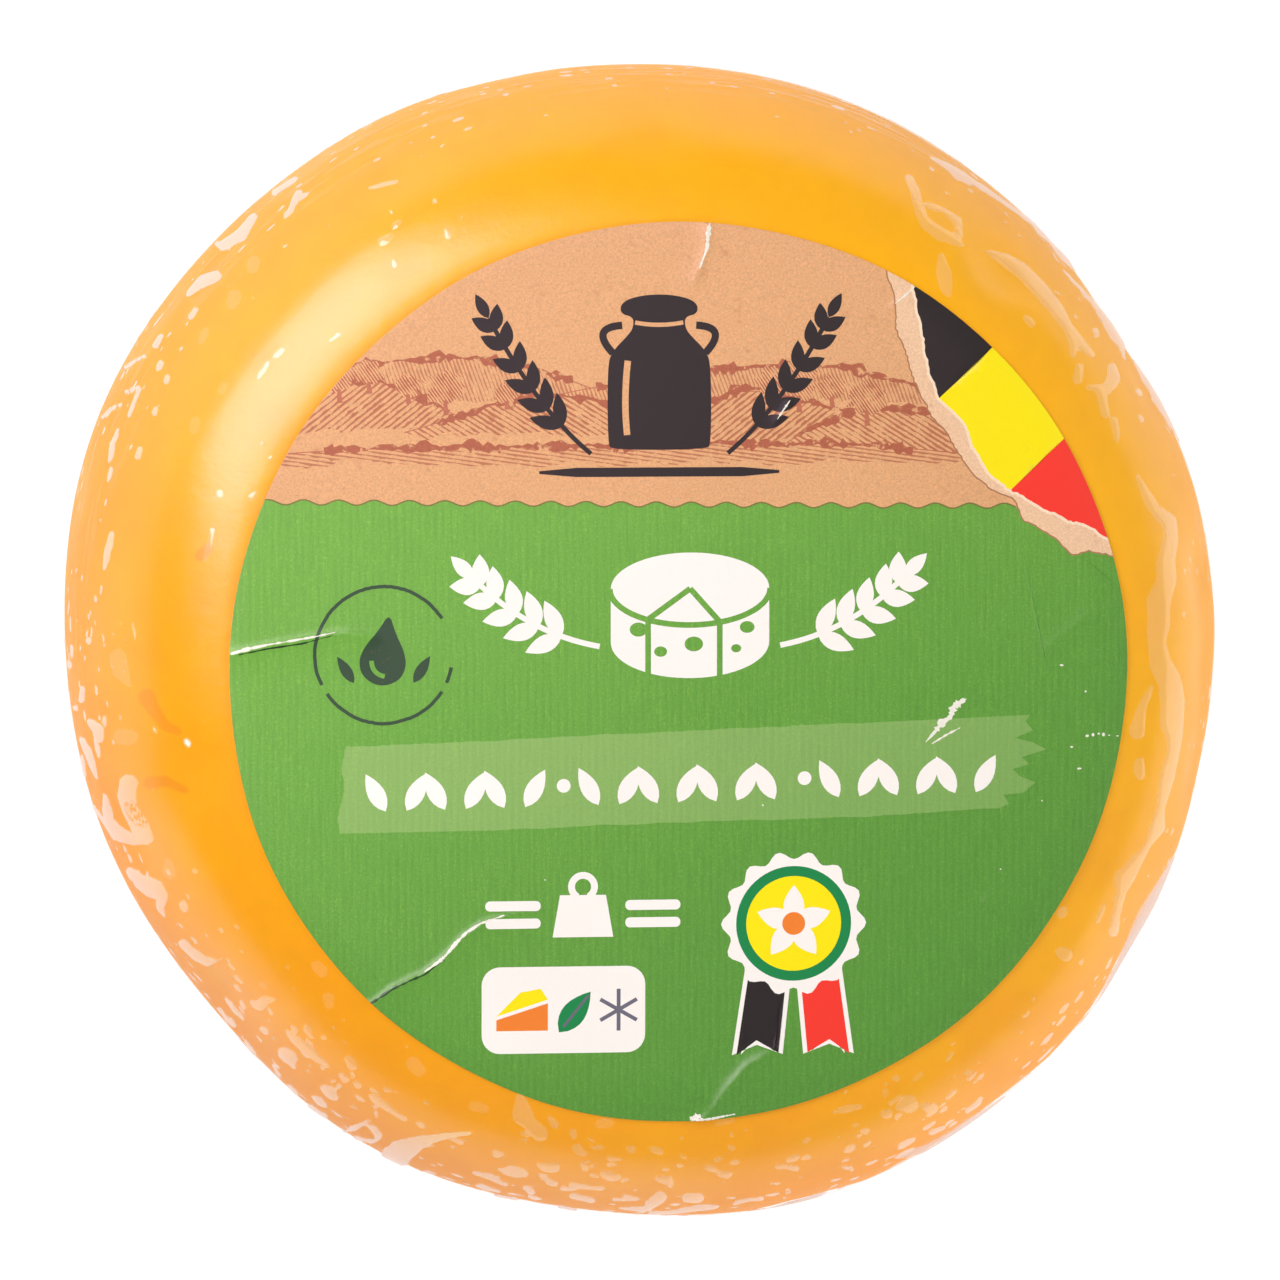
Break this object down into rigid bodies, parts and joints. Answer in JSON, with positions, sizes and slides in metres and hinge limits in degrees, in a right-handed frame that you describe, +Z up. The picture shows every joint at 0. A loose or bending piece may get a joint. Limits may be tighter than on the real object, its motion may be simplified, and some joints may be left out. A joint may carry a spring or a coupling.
{
  "type": "cheese wheel",
  "caption": "Small round cheese wheel with bulging sides, shrink-wrapped in clear film, with a round paper label on its flat top.",
  "frame": {"origin": "on the surface that the wheel lies on, under the middle of its outline seen from above", "axes": "+Z up through the wheel's thickness to the labelled face, +Y towards the top of the label's print, +X to the right of the print"},
  "size_m": [0.1316, 0.1306, 0.0667],
  "materials": {
    "wrapped_rind": "glossy",
    "label_paper": "satin",
    "clear_film": "glossy"
  },
  "bodies": {
    "root": {"wrapped_wheel": "wrapped_rind", "label": "label_paper", "film_seam": "clear_film"}
  },
  "joints": []
}
